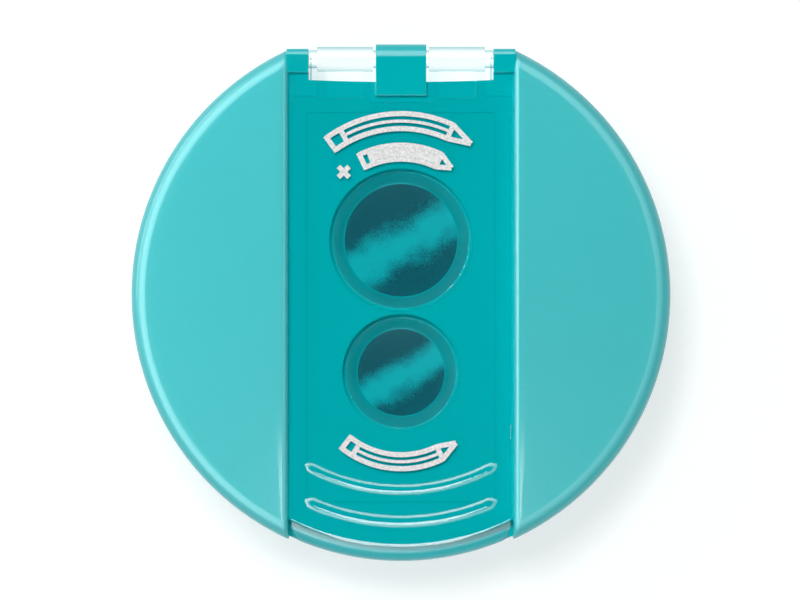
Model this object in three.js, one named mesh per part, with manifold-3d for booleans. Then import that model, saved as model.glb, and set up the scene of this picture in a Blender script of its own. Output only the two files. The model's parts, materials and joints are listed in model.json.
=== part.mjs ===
// Round pencil sharpener with a shavings tub.
//
// A disc-shaped casing of two halves holds an insert with two conical sharpening bores, each with its own blade
// and screw. A clear lid lies in a channel across the front between two domed wings. It is hinged at one end of
// the channel, plugs both pencil openings with cups, and wraps over the casing's edge at the other end. The front
// half pulls off the tub to empty it.
//
// Millimetres. The origin is the centre of the back face, +Z points out of the front and +Y towards the hinge.
import * as THREE from "three";
import { mergeVertices } from "three/addons/utils/BufferGeometryUtils.js";
import Module from "manifold-3d";

const wasm = await Module();
wasm.setup();

// ---------------------------------------------------------------- driving dimensions

// Casing
const BODY_RADIUS = 27.0;
const RIM_HEIGHT = 26.4; // back face to the dome's level at the body's radius
const DOME_RISE = 1.6; // how far the crown of the dome stands above the rim
const RIM_FILLET = 1.5;
const BACK_FILLET = 2.0;
const WALL = 1.4;
const TUB_HEIGHT = 13.9; // back face to the parting line
const PARTING_GAP = 0.2;
const SPIGOT_HEIGHT = 3.0; // the tub's inner lip, which plugs into the front half
const SPIGOT_WALL = 1.1;
const SPIGOT_CLEARANCE = 0.25;

// Channel across the front
const CHANNEL_HALF = 11.3; // half of the channel's width
const CHANNEL_DEPTH = 1.7; // rim level down to the deck
const DECK_THICKNESS = 1.5;
const BAND_RECESS = 1.8; // how far the casing's edge is set back behind the lid's lip
const EAR_WIDTH = 2.05;
const EAR_OVERHANG = 0.08; // the ears' flat end beyond the corners of the wings
const EAR_ROUND = 0.5;
const EAR_OVER_PIN = 0.45; // the ear's top above the pin
const EAR_STEP = 0.15; // knuckle's round to the ear's inner end
const NOTCH_DEPTH = 3.1; // the gap behind the hinge barrels, from the ears' end
const NOTCH_BOW = 0.2; // how far the notch's wall bows inwards at its middle

// Hinge
const PIN_RADIUS = 0.9;
const PIN_CLEARANCE = 0.09;
const BARREL_WALL = 0.35;
const KNUCKLE_WALL = 0.6;
const KNUCKLE_HALF = 2.53;
const KNUCKLE_LENGTH = 5.17; // measured along Y
const HINGE_INSET = 1.03; // axis to the ears' end
const ARM_GAP = 0.27; // arm to knuckle
const EAR_GAP = 0.85; // arm to ear
const PIN_REACH = 1.1; // how deep the pin's ends go into the ears
const SOCKET_END_GAP = 0.1;
const SNAP_SLOT = 1.5; // the mouth under the knuckle that the pin snaps through

// Lid
const LID_THICKNESS = 1.3;
const LID_GAP = 0.2; // lid to deck
const LID_SIDE_GAP = 0.35;
const LID_SHOULDER = 3.72; // hinge axis to the lid's end beside its arms
const LID_NOTCH_GAP = 0.68; // knuckle to the notch between the arms, so that the lid swings clear of its corner
const LIP_SETBACK = 0.25; // lip's outer face inside the body's radius
const LIP_GAP = 0.25; // lip to the casing, both behind it and under it
const LIP_DROP = 2.9; // how far the lip reaches below the lid's underside
const LIP_ROUND = 1.9;
const LIP_CORNER = 1.2;
const CUP_MARGIN = 0.55; // bore to the edge of the cup's floor
const CUP_FLARE = 1.0; // how much wider a cup is at the lid's face than at its floor
const CUP_WALL = 0.6;
const CUP_FLOOR = 0.7;
const CUP_DISH = 0.35; // how much deeper the floor is at its middle
const CUP_DROP = 2.3; // lid's underside to the cup's
const CUP_CLEARANCE = 0.3;
const WINDOW_SIDE = 0.95; // the arm's bar on each side of its window
const WINDOW_FOOT = 0.25; // how far a window reaches past the arm's root
const GRIP_HEIGHT = 0.3;
const GRIP_INSETS = [
  { outer: 3.4, inner: 4.7 },
  { outer: 6.65, inner: 7.8 },
]; // grip ridges, measured inwards from the lip's outer face
const GRIP_END = 1.35; // ridge end to the lid's side

// Pencil bores
const LARGE_BORE = { radius: 5.2, halfAngle: THREE.MathUtils.degToRad(15) };
const SMALL_BORE = { radius: 3.9, halfAngle: THREE.MathUtils.degToRad(11.5) };
const MOUTH_WEB = 0.28; // material left between the two mouths
const BORES_MIDDLE_Y = -1.19;
const ENTRY_LENGTH = 1.5; // straight guide above each cone
const FUNNEL_WIDTH = 0.8;
const FUNNEL_HEIGHT = 0.4;
const SLOT_AZIMUTH = THREE.MathUtils.degToRad(30); // half of the shaving slot's opening angle

// Insert
const INSERT_SIDE = 1.85; // channel wall to the insert's opening in the deck
const INSERT_GAP = 0.15;
const INSERT_TOP_SETBACK = 3.27; // notch wall to the insert's opening
const INSERT_BOTTOM_SETBACK = 5.0; // casing's edge to the opening, on the centre line
const FLANGE_WIDTH = 1.3;
const FLANGE_THICKNESS = 1.4;
const FLANGE_GAP = 0.2;
const FLANGE_WALL_GAP = 0.4; // flange to the inside of the casing's wall
const BLOCK_WALL = 1.4;
const BLOCK_TAPER = 0.15; // how much the block's outer faces lean in per unit of height
const TIP_ROOM = 2.6; // tub floor to the block
const TIP_RADIUS_MIN = 0.6;
const HOOK_LENGTH = 4.0;
const HOOK_THICKNESS = 1.1;
const HOOK_BARB = 0.6;
const HOOK_GAP = 0.2;
const HOOK_REACH = 2.6; // deck's underside to the hook's end
const HOOK_SPREAD = 11.5; // hooks' distance from the centre line along Y

// Blades and screws
const BLADE_WIDTH = 6.5;
const BLADE_THICKNESS = 0.5;
const BLADE_BEVEL = 1.3;
const BLADE_EDGE = 0.08;
const BLADE_GAP = 0.1;
const BLADE_END_GAP = 0.5;
const BLADE_TOP_ROOM = 0.8; // more room above the blade, for the seat's sloping top
const BLADE_SIDE_ROOM = 0.5;
const SCREW_INSET = 3.7; // cutting edge to the screw's axis
const SCREW_PLACE = 0.6; // share of the blade's length at which the screw sits
const SCREW_RADIUS = 1.2;
const SCREW_CLEARANCE = 0.1;
const SCREW_DEPTH = 3.7;
const SCREW_END_ROOM = 0.4; // hole below the screw's end
const SCREW_POINT = { share: 0.6, height: 0.8 }; // the end's narrower radius and its height
const HEAD_RADIUS = 2.2;
const HEAD_HEIGHT = 1.1;
const HEAD_ROUND = 0.35;
const SLOT_WIDTH = 0.55;
const SLOT_DEPTH = 0.55;

// Facets and overlaps
const ROUND = 96; // segments of the casing's circle
const BORE_SEGMENTS = 48;
const PIN_SEGMENTS = 32;
const FAR = 60; // beyond every face of the object
const PAST = 1; // how far a cut reaches past the faces it opens
const INTO = 0.2; // how far a joined piece reaches into its neighbour
const BELOW = -2; // under the casing's back

// ---------------------------------------------------------------- derived places

const partingZ = TUB_HEIGHT + PARTING_GAP;
const deckZ = RIM_HEIGHT - CHANNEL_DEPTH;
const deckUnderZ = deckZ - DECK_THICKNESS;
const bandRadius = BODY_RADIUS - BAND_RECESS;
const earEndY = Math.sqrt(BODY_RADIUS ** 2 - CHANNEL_HALF ** 2) + EAR_OVERHANG;
const earInnerX = CHANNEL_HALF - EAR_WIDTH;
const notchY = earEndY - NOTCH_DEPTH;

const barrelRadius = PIN_RADIUS + BARREL_WALL;
const knuckleRadius = PIN_RADIUS + KNUCKLE_WALL;
const pinBoreRadius = PIN_RADIUS + PIN_CLEARANCE;
const lidBottomZ = deckZ + LID_GAP;
const lidTopZ = lidBottomZ + LID_THICKNESS;
const hingeY = earEndY - HINGE_INSET;
const hingeZ = lidTopZ - barrelRadius;
const knuckleEndY = hingeY + knuckleRadius - KNUCKLE_LENGTH;
const pinHalf = earInnerX + PIN_REACH;

const lidHalf = CHANNEL_HALF - LID_SIDE_GAP;
const lidEndY = hingeY - LID_SHOULDER;
const armInnerX = KNUCKLE_HALF + ARM_GAP;
const armOuterX = earInnerX - EAR_GAP;
const lipOuter = BODY_RADIUS - LIP_SETBACK;
const lipInner = bandRadius + LIP_GAP;
const lipBottomZ = lidBottomZ - LIP_DROP;
const ledgeZ = lipBottomZ - LIP_GAP; // the casing is flush with the lip from here down

const cupBottomZ = lidBottomZ - CUP_DROP;
const cupFloorEdgeZ = cupBottomZ + CUP_FLOOR + CUP_DISH;
const cupSlope = CUP_FLARE / (lidTopZ - cupFloorEdgeZ);

// Sizes around one pencil bore, from its own radius and angle.
function boreSizes({ radius, halfAngle }) {
  const cupFloor = radius + CUP_MARGIN;
  const cupOutside = (z) => cupFloor + CUP_WALL + cupSlope * (z - cupFloorEdgeZ);
  const coneTopZ = cupBottomZ - LID_GAP - ENTRY_LENGTH;
  return {
    radius,
    halfAngle,
    cupFloor,
    cupOutside,
    mouth: cupOutside(lidBottomZ) + CUP_CLEARANCE,
    coneTopZ,
    apexZ: coneTopZ - radius / Math.tan(halfAngle),
  };
}
const large = boreSizes(LARGE_BORE);
const small = boreSizes(SMALL_BORE);
const boreSpacing = large.mouth + small.mouth + MOUTH_WEB;
large.y = BORES_MIDDLE_Y + boreSpacing / 2;
small.y = BORES_MIDDLE_Y - boreSpacing / 2;
large.turn = 0; // its blade lies on the +X side
small.turn = Math.PI; // its blade lies on the -X side
const mouthFloorZ = large.coneTopZ + ENTRY_LENGTH;

const openingHalf = CHANNEL_HALF - INSERT_SIDE;
const openingTopY = notchY - INSERT_TOP_SETBACK;
const openingBottomY = -(bandRadius - INSERT_BOTTOM_SETBACK) - LIP_CORNER / 2;
const flangeHalf = openingHalf + FLANGE_WIDTH;
const flangeTopZ = deckUnderZ - FLANGE_GAP;
const flangeBottomZ = flangeTopZ - FLANGE_THICKNESS;
const tipClearZ = Math.max(
  ...[large, small].map((bore) => bore.apexZ + TIP_RADIUS_MIN / Math.tan(bore.halfAngle)),
);
const blockBottomZ = Math.max(WALL + TIP_ROOM, tipClearZ);

// ---------------------------------------------------------------- solids

// A closed three.js geometry as a solid that can be joined and cut.
function solid(geometry) {
  const bare = geometry.clone();
  bare.deleteAttribute("normal");
  bare.deleteAttribute("uv");
  const merged = mergeVertices(bare, 1e-4);
  const mesh = new wasm.Mesh({
    numProp: 3,
    vertProperties: new Float32Array(merged.attributes.position.array),
    triVerts: new Uint32Array(merged.index.array),
  });
  return new wasm.Manifold(mesh);
}

// The solid's surface as a three.js geometry.
function geometryOf(manifold) {
  const mesh = manifold.getMesh();
  const geometry = new THREE.BufferGeometry();
  geometry.setAttribute("position", new THREE.BufferAttribute(mesh.vertProperties, 3));
  geometry.setIndex(new THREE.BufferAttribute(mesh.triVerts, 1));
  const faceted = geometry.toNonIndexed();
  faceted.computeVertexNormals();
  return faceted;
}

function box(x0, x1, y0, y1, z0, z1) {
  const geometry = new THREE.BoxGeometry(x1 - x0, y1 - y0, z1 - z0);
  return solid(geometry.translate((x0 + x1) / 2, (y0 + y1) / 2, (z0 + z1) / 2));
}

// An upright cylinder around (x, y).
function post(radius, z0, z1, x = 0, y = 0, segments = ROUND) {
  const geometry = new THREE.CylinderGeometry(radius, radius, z1 - z0, segments);
  return solid(geometry.rotateX(Math.PI / 2).translate(x, y, (z0 + z1) / 2));
}

// A cylinder along X on the hinge's axis.
function hingeRod(radius, x0, x1) {
  const geometry = new THREE.CylinderGeometry(radius, radius, x1 - x0, PIN_SEGMENTS);
  return solid(geometry.rotateZ(Math.PI / 2).translate((x0 + x1) / 2, hingeY, hingeZ));
}

// A body turned around the Z axis from a profile of (radius, z) points that runs from the axis back to it.
function turned(profile, segments = ROUND, x = 0, y = 0) {
  const points = profile.map(([r, z]) => new THREE.Vector2(r, z));
  return solid(new THREE.LatheGeometry(points, segments).rotateX(Math.PI / 2).translate(x, y, 0));
}

// An outline of (y, z) points drawn along X.
function alongX(outline, x0, x1) {
  const shape = new THREE.Shape(outline.map(([y, z]) => new THREE.Vector2(y, z)));
  const geometry = new THREE.ExtrudeGeometry(shape, { depth: x1 - x0, bevelEnabled: false });
  const toWorld = new THREE.Matrix4().makeBasis(
    new THREE.Vector3(0, 1, 0),
    new THREE.Vector3(0, 0, 1),
    new THREE.Vector3(1, 0, 0),
  );
  return solid(geometry.applyMatrix4(toWorld.setPosition(x0, 0, 0)));
}

// An outline of (x, z) points drawn along Y.
function alongY(outline, y0, y1) {
  const shape = new THREE.Shape(outline.map(([x, z]) => new THREE.Vector2(x, z)));
  const geometry = new THREE.ExtrudeGeometry(shape, { depth: y1 - y0, bevelEnabled: false });
  const toWorld = new THREE.Matrix4().makeBasis(
    new THREE.Vector3(1, 0, 0),
    new THREE.Vector3(0, 0, 1),
    new THREE.Vector3(0, -1, 0),
  );
  return solid(geometry.applyMatrix4(toWorld.setPosition(0, y1, 0)));
}

// Points of an arc around (cx, cy), both ends included.
function arc(cx, cy, radius, from, to, steps) {
  return Array.from({ length: steps + 1 }, (_, i) => {
    const angle = from + ((to - from) * i) / steps;
    return [cx + radius * Math.cos(angle), cy + radius * Math.sin(angle)];
  });
}

// Both mirror images of a solid that lies on the +X side.
function onBothSides(right) {
  return right.add(right.mirror([1, 0, 0]));
}

// What lies outside an arc of the casing, over the channel's width and between two heights.
function channelEndCut(radius, half, z0, z1) {
  return box(-half, half, -FAR, 0, z0, z1).subtract(post(radius, z0 - PAST, z1 + PAST));
}

// The casing's plan outline as an upright prism, set in by a wall thickness: a disc with a notch behind the hinge
// barrels and flat ear ends. At the channel's other end it is flush with the lip, and recessed behind it.
function casingPrism(inset, z0, z1) {
  const notchHalf = earInnerX + inset;
  const wallY = notchY - inset;
  const notch = new THREE.Shape();
  notch.moveTo(-notchHalf, wallY);
  notch.quadraticCurveTo(0, wallY - 2 * NOTCH_BOW, notchHalf, wallY);
  notch.lineTo(notchHalf, FAR);
  notch.lineTo(-notchHalf, FAR);
  notch.closePath();
  const notchCut = new THREE.ExtrudeGeometry(notch, {
    depth: z1 - z0 + 2 * PAST,
    bevelEnabled: false,
    curveSegments: 8,
  }).translate(0, 0, z0 - PAST);
  const earCut = box(-FAR, FAR, earEndY - inset, FAR, z0 - PAST, z1 + PAST);
  const bandHalf = CHANNEL_HALF + inset;
  const recessZ = Math.max(ledgeZ - inset, z0 - PAST);
  const blank = post(BODY_RADIUS - inset, z0, z1)
    .subtract(solid(notchCut))
    .subtract(earCut)
    .subtract(channelEndCut(lipOuter - inset, bandHalf, z0 - PAST, z1 + PAST));
  return recessZ < z1 ? blank.subtract(channelEndCut(bandRadius - inset, bandHalf, recessZ, z1 + PAST)) : blank;
}

// The front's domed surface as a profile from the rim to the crown, lowered by an offset.
function domeProfile(maxRadius, lowered) {
  const steps = 8;
  return Array.from({ length: steps + 1 }, (_, i) => {
    const r = maxRadius * (1 - i / steps);
    return [r, RIM_HEIGHT + DOME_RISE * (1 - (r / BODY_RADIUS) ** 2) - lowered];
  });
}

// ---------------------------------------------------------------- casing

function hingeKnuckle() {
  const top = hingeZ + knuckleRadius;
  const bottom = hingeZ - knuckleRadius;
  const nose = arc(hingeY, hingeZ, knuckleRadius, Math.PI / 2, -Math.PI / 2, 12);
  const outline = [[knuckleEndY, bottom], ...nose.reverse(), [knuckleEndY, top]];
  const past = KNUCKLE_HALF + PAST;
  const mouth = box(-past, past, hingeY - SNAP_SLOT / 2, hingeY + SNAP_SLOT / 2, bottom - PAST, hingeZ);
  return alongX(outline, -KNUCKLE_HALF, KNUCKLE_HALF)
    .subtract(hingeRod(pinBoreRadius, -past, past))
    .subtract(mouth);
}

// An ear at the end of each wing holds one end of the lid's pin in a blind socket.
function hingeEar() {
  const start = hingeY - knuckleRadius + EAR_STEP;
  const top = hingeZ + PIN_RADIUS + EAR_OVER_PIN;
  const outline = [
    [start, deckUnderZ + INTO],
    [earEndY, deckUnderZ + INTO],
    ...arc(earEndY - EAR_ROUND, top - EAR_ROUND, EAR_ROUND, 0, Math.PI / 2, 4),
    [start, top],
  ];
  return alongX(outline, earInnerX, CHANNEL_HALF + INTO);
}

function pinSocket() {
  return hingeRod(pinBoreRadius, earInnerX - PAST, pinHalf + SOCKET_END_GAP);
}

// One of the hooks under the deck that the insert's flange snaps past.
function insertHook(y) {
  const inner = flangeHalf + HOOK_GAP;
  const end = deckUnderZ - HOOK_REACH;
  const barbTop = flangeBottomZ - HOOK_GAP;
  const stem = box(
    inner, inner + HOOK_THICKNESS, y - HOOK_LENGTH / 2, y + HOOK_LENGTH / 2, end, deckUnderZ + INTO,
  );
  const barb = alongY(
    [[inner + INTO, end], [inner + INTO, barbTop], [inner - HOOK_BARB, barbTop]],
    y - HOOK_LENGTH / 2, y + HOOK_LENGTH / 2,
  );
  return stem.add(barb);
}

function frontShell() {
  const fillet = arc(BODY_RADIUS - RIM_FILLET, RIM_HEIGHT - RIM_FILLET, RIM_FILLET, 0, Math.PI / 2, 5);
  const outside = turned([
    [0, partingZ],
    [BODY_RADIUS, partingZ],
    ...fillet,
    ...domeProfile(BODY_RADIUS - RIM_FILLET, 0).slice(1),
  ]).intersect(casingPrism(0, partingZ, FAR));
  const inside = turned([
    [0, partingZ - PAST],
    [BODY_RADIUS, partingZ - PAST],
    ...domeProfile(BODY_RADIUS, WALL),
  ])
    .intersect(casingPrism(WALL, partingZ - PAST, FAR))
    .subtract(
      box(-CHANNEL_HALF - WALL, CHANNEL_HALF + WALL, -FAR, FAR, deckUnderZ, FAR),
    );
  const channel = box(-CHANNEL_HALF, CHANNEL_HALF, -FAR, FAR, deckZ, FAR);
  const opening = box(-openingHalf, openingHalf, openingBottomY, openingTopY, partingZ, FAR);
  const hooks = onBothSides(insertHook(HOOK_SPREAD).add(insertHook(-HOOK_SPREAD)));
  return outside
    .subtract(inside)
    .subtract(channel)
    .subtract(opening)
    .add(hooks)
    .add(onBothSides(hingeEar()))
    .subtract(onBothSides(pinSocket()))
    .add(hingeKnuckle());
}

function rearTub() {
  const fillet = arc(BODY_RADIUS - BACK_FILLET, BACK_FILLET, BACK_FILLET, -Math.PI / 2, 0, 5);
  const outside = turned([[0, 0], ...fillet, [BODY_RADIUS, TUB_HEIGHT], [0, TUB_HEIGHT]]).intersect(
    casingPrism(0, -PAST, TUB_HEIGHT + PAST),
  );
  const spigotInset = WALL + SPIGOT_CLEARANCE;
  const spigot = casingPrism(spigotInset, WALL, TUB_HEIGHT + SPIGOT_HEIGHT);
  const room = casingPrism(spigotInset + SPIGOT_WALL, WALL, TUB_HEIGHT + SPIGOT_HEIGHT + PAST);
  return outside.add(spigot).subtract(room);
}

// ---------------------------------------------------------------- lid

// Half of the lid's plan outline is a straight side with a rounded corner at the lip.
function lidPlan() {
  const sideY = -Math.sqrt(lipOuter ** 2 - lidHalf ** 2);
  const plan = new THREE.Shape();
  plan.moveTo(lidHalf, lidEndY);
  plan.lineTo(-lidHalf, lidEndY);
  plan.lineTo(-lidHalf, sideY + LIP_CORNER);
  plan.quadraticCurveTo(-lidHalf, sideY, -lidHalf + LIP_CORNER, sideY - LIP_CORNER / 2);
  plan.lineTo(-lidHalf + LIP_CORNER, -FAR);
  plan.lineTo(lidHalf - LIP_CORNER, -FAR);
  plan.lineTo(lidHalf - LIP_CORNER, sideY - LIP_CORNER / 2);
  plan.quadraticCurveTo(lidHalf, sideY, lidHalf, sideY + LIP_CORNER);
  plan.closePath();
  const options = { depth: FAR, bevelEnabled: false, curveSegments: 6 };
  return solid(new THREE.ExtrudeGeometry(plan, options));
}

// One arm reaches back to its hinge barrel, with a window beside the barrel.
function lidArm() {
  const arm = box(armInnerX, armOuterX, lidEndY - PAST, hingeY, lidBottomZ, lidTopZ);
  const barrel = hingeRod(barrelRadius, armInnerX, armOuterX);
  return arm.add(barrel);
}

function armWindow() {
  return box(
    armInnerX + WINDOW_SIDE, armOuterX - WINDOW_SIDE,
    lidEndY - WINDOW_FOOT, hingeY - barrelRadius,
    lidBottomZ - PAST, lidTopZ + PAST,
  );
}

// The notch between the arms, behind the knuckle.
function lidNotch() {
  return box(-armInnerX, armInnerX, knuckleEndY - LID_NOTCH_GAP, FAR, -FAR, FAR);
}

// The outside of the cup that plugs one pencil opening. It reaches up into the lid's panel.
function cupBody(bore) {
  const top = lidBottomZ + LID_THICKNESS / 2;
  return turned(
    [
      [0, cupBottomZ],
      [bore.cupOutside(cupBottomZ), cupBottomZ],
      [bore.cupOutside(top), top],
      [0, top],
    ],
    BORE_SEGMENTS, 0, bore.y,
  );
}

// The cup's hollow, open at the lid's face.
function cupHollow(bore) {
  return turned(
    [
      [0, cupFloorEdgeZ - CUP_DISH],
      [bore.cupFloor, cupFloorEdgeZ],
      [bore.cupFloor + CUP_FLARE + PAST * cupSlope, lidTopZ + PAST],
      [0, lidTopZ + PAST],
    ],
    BORE_SEGMENTS, 0, bore.y,
  );
}

// A raised ridge on the lid, concentric with the casing.
function gripRidge({ outer, inner }) {
  const half = lidHalf - GRIP_END;
  return post(lipOuter - outer, lidTopZ - INTO, lidTopZ + GRIP_HEIGHT)
    .subtract(post(lipOuter - inner, lidTopZ - PAST, lidTopZ + PAST))
    .intersect(box(-half, half, -FAR, 0, 0, FAR));
}

function lid() {
  const round = arc(lipOuter - LIP_ROUND, lidTopZ - LIP_ROUND, LIP_ROUND, 0, Math.PI / 2, 6);
  const blank = turned([[0, lipBottomZ], [lipOuter, lipBottomZ], ...round, [0, lidTopZ]]).intersect(lidPlan());
  const under = post(lipInner, lipBottomZ - PAST, lidBottomZ).add(
    box(-FAR, FAR, -lipInner / 2, FAR, lipBottomZ - PAST, lidBottomZ),
  );
  return blank
    .subtract(under)
    .subtract(lidNotch())
    .add(onBothSides(lidArm()))
    .add(hingeRod(PIN_RADIUS, -pinHalf, pinHalf))
    .subtract(onBothSides(armWindow()))
    .add(cupBody(large))
    .add(cupBody(small))
    .subtract(cupHollow(large))
    .subtract(cupHollow(small))
    .add(gripRidge(GRIP_INSETS[0]))
    .add(gripRidge(GRIP_INSETS[1]));
}

// ---------------------------------------------------------------- insert, blades and screws

// The frame of a blade's seat: U runs from the cone's apex along the cutting edge, W across the blade away from
// the shaving slot, N out of the seat. The seat's plane holds the apex and both edges of the slot.
function seatFrame(bore) {
  const a = bore.halfAngle;
  const u = new THREE.Vector3(
    Math.sin(a) * Math.cos(SLOT_AZIMUTH),
    -Math.sin(a) * Math.sin(SLOT_AZIMUTH),
    Math.cos(a),
  );
  const n = new THREE.Vector3(Math.cos(a), 0, -Math.sin(a) * Math.cos(SLOT_AZIMUTH)).normalize();
  const w = new THREE.Vector3().crossVectors(n, u);
  return new THREE.Matrix4()
    .makeTranslation(0, bore.y, bore.apexZ)
    .multiply(new THREE.Matrix4().makeRotationZ(bore.turn))
    .multiply(new THREE.Matrix4().makeBasis(u, w, n));
}

// Where a blade starts and ends along U, and where its screw sits.
function bladeSpan(bore) {
  const start = (blockBottomZ - bore.apexZ) / Math.cos(bore.halfAngle) + BLADE_END_GAP;
  const end = (bore.coneTopZ - bore.apexZ) / Math.cos(bore.halfAngle) - BLADE_END_GAP - BLADE_TOP_ROOM;
  return { start, end, screw: start + (end - start) * SCREW_PLACE };
}

// The space above a bore's seat plane, out to the side of the block, over the blade's width.
function seatCut(bore) {
  const lean = Math.tan(bore.halfAngle) * Math.cos(SLOT_AZIMUTH);
  const seatX = (z) => lean * (z - bore.apexZ);
  const outline = [
    [seatX(BELOW), BELOW],
    [FAR, BELOW],
    [FAR, bore.coneTopZ],
    [seatX(bore.coneTopZ), bore.coneTopZ],
  ];
  const reach = bore.radius * Math.sin(SLOT_AZIMUTH) + BLADE_WIDTH + BLADE_SIDE_ROOM;
  return alongY(outline, -reach, FAR)
    .rotate([0, 0, THREE.MathUtils.radToDeg(bore.turn)])
    .translate([0, bore.y, 0]);
}

// A wedge that leans one outer face of the block inwards towards its foot. It lies beyond +X before it is turned.
function faceTaper(distance, y0, y1, degrees) {
  const top = flangeBottomZ;
  const foot = distance - BLOCK_TAPER * (top - BELOW);
  const wedge = alongY([[foot, BELOW], [FAR, BELOW], [FAR, top], [distance, top]], y0, y1);
  return wedge.rotate([0, 0, degrees]);
}

// The bore's whole hollow: cone, straight guide, funnel and the mouth that takes the lid's cup.
function boreHollow(bore) {
  const entryTop = mouthFloorZ - FUNNEL_HEIGHT;
  return turned(
    [
      [0, bore.apexZ],
      [bore.radius, bore.coneTopZ],
      [bore.radius, entryTop],
      [bore.radius + FUNNEL_WIDTH, mouthFloorZ],
      [bore.mouth, mouthFloorZ],
      [bore.mouth, deckZ + PAST],
      [0, deckZ + PAST],
    ],
    BORE_SEGMENTS, 0, bore.y,
  );
}

// A hole around a screw's axis in the seat's frame, between two places along N.
function holeAroundScrew(bore, n0, n1) {
  const radius = SCREW_RADIUS + SCREW_CLEARANCE;
  return post(radius, n0, n1, bladeSpan(bore).screw, SCREW_INSET, PIN_SEGMENTS);
}

function screwHole(bore) {
  const hole = holeAroundScrew(bore, -SCREW_DEPTH - SCREW_END_ROOM, 2 * PAST);
  return hole.transform(seatFrame(bore).elements);
}

function sharpenerInsert() {
  const plate = box(
    -openingHalf + INSERT_GAP, openingHalf - INSERT_GAP,
    openingBottomY + INSERT_GAP, openingTopY - INSERT_GAP,
    flangeBottomZ, deckZ,
  );
  const flange = box(
    -flangeHalf, flangeHalf,
    openingBottomY - FLANGE_WIDTH, openingTopY + FLANGE_WIDTH,
    flangeBottomZ, flangeTopZ,
  ).intersect(casingPrism(WALL + FLANGE_WALL_GAP, flangeBottomZ - PAST, flangeTopZ + PAST));
  const sideX = (bore) => bore.radius + BLOCK_WALL;
  const endTop = large.y + sideX(large);
  const endBottom = small.y - sideX(small);
  const block = box(-sideX(large), sideX(large), endBottom, endTop, blockBottomZ, flangeBottomZ + INTO);
  const largeSeatEnd = large.y - large.radius * Math.sin(SLOT_AZIMUTH) - BLADE_WIDTH - BLADE_SIDE_ROOM;
  const smallSeatEnd = small.y + small.radius * Math.sin(SLOT_AZIMUTH) + BLADE_WIDTH + BLADE_SIDE_ROOM;
  return plate
    .add(flange)
    .add(block)
    .subtract(seatCut(large))
    .subtract(seatCut(small))
    .subtract(faceTaper(sideX(small), -FAR, largeSeatEnd + BLADE_SIDE_ROOM, 0))
    .subtract(faceTaper(sideX(large), -FAR, -smallSeatEnd + BLADE_SIDE_ROOM, 180))
    .subtract(faceTaper(endTop, -FAR, FAR, 90))
    .subtract(faceTaper(-endBottom, -FAR, FAR, -90))
    .subtract(boreHollow(large))
    .subtract(boreHollow(small))
    .subtract(screwHole(large))
    .subtract(screwHole(small));
}

// A flat blade with a ground cutting edge along U and a hole for its screw.
function blade(bore) {
  const { start, end } = bladeSpan(bore);
  const low = BLADE_GAP;
  const high = BLADE_GAP + BLADE_THICKNESS;
  const section = [[0, low], [BLADE_WIDTH, low], [BLADE_WIDTH, high], [BLADE_BEVEL, high], [0, low + BLADE_EDGE]];
  return alongX(section, start, end).subtract(holeAroundScrew(bore, -PAST, high + PAST));
}

// A slotted cheese-head screw, drawn with its axis along N.
function screw(bore) {
  const place = bladeSpan(bore).screw;
  const seat = BLADE_GAP + BLADE_THICKNESS + BLADE_GAP;
  const top = seat + HEAD_HEIGHT;
  const body = turned(
    [
      [0, -SCREW_DEPTH],
      [SCREW_RADIUS * SCREW_POINT.share, -SCREW_DEPTH],
      [SCREW_RADIUS, -SCREW_DEPTH + SCREW_POINT.height],
      [SCREW_RADIUS, seat],
      [HEAD_RADIUS, seat],
      ...arc(HEAD_RADIUS - HEAD_ROUND, top - HEAD_ROUND, HEAD_ROUND, 0, Math.PI / 2, 3),
      [0, top],
    ],
    PIN_SEGMENTS, place, SCREW_INSET,
  );
  const slot = box(
    place - FAR, place + FAR,
    SCREW_INSET - SLOT_WIDTH / 2, SCREW_INSET + SLOT_WIDTH / 2,
    top - SLOT_DEPTH, top + PAST,
  );
  return body.subtract(slot);
}

// ---------------------------------------------------------------- scene graph

const shellMaterial = new THREE.MeshStandardMaterial({ color: 0x28b4b8, roughness: 0.55, metalness: 0 });
const glossMaterial = new THREE.MeshStandardMaterial({ color: 0x00a2a8, roughness: 0.18, metalness: 0 });
const clearMaterial = new THREE.MeshStandardMaterial({
  color: 0xe6f5f5, roughness: 0.05, metalness: 0, transparent: true, opacity: 0.3,
});
const steelMaterial = new THREE.MeshStandardMaterial({ color: 0xb8bcc0, roughness: 0.25, metalness: 1 });

function part(name, manifold, material) {
  const mesh = new THREE.Mesh(geometryOf(manifold), material);
  mesh.name = name;
  return mesh;
}

// A blade and its screw are drawn in their seat's frame and placed by that frame.
function bladeGroup(size, bore) {
  const group = new THREE.Group();
  group.applyMatrix4(seatFrame(bore));
  group.add(part(`blade_${size}`, blade(bore), steelMaterial));
  group.add(part(`blade_screw_${size}`, screw(bore), steelMaterial));
  return group;
}

const sharpener = new THREE.Group();
sharpener.add(part("rear_tub", rearTub(), shellMaterial));
sharpener.add(part("front_shell", frontShell(), shellMaterial));
sharpener.add(part("sharpener_insert", sharpenerInsert(), glossMaterial));
sharpener.add(bladeGroup("large", large));
sharpener.add(bladeGroup("small", small));
sharpener.add(part("lid", lid(), clearMaterial));

export default sharpener;
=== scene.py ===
"""Looks of the round pencil sharpener.

The pieces are rebuilt here with rounded edges and given their materials. Lengths inside the builders are
millimetres and become metres when a piece is finished. The frame is the CAD's: the origin is the centre of
the back face, +Z points out of the front and +Y towards the hinge.
"""

import json
import math

import bmesh
import bpy
from mathutils import Matrix, Vector


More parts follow.
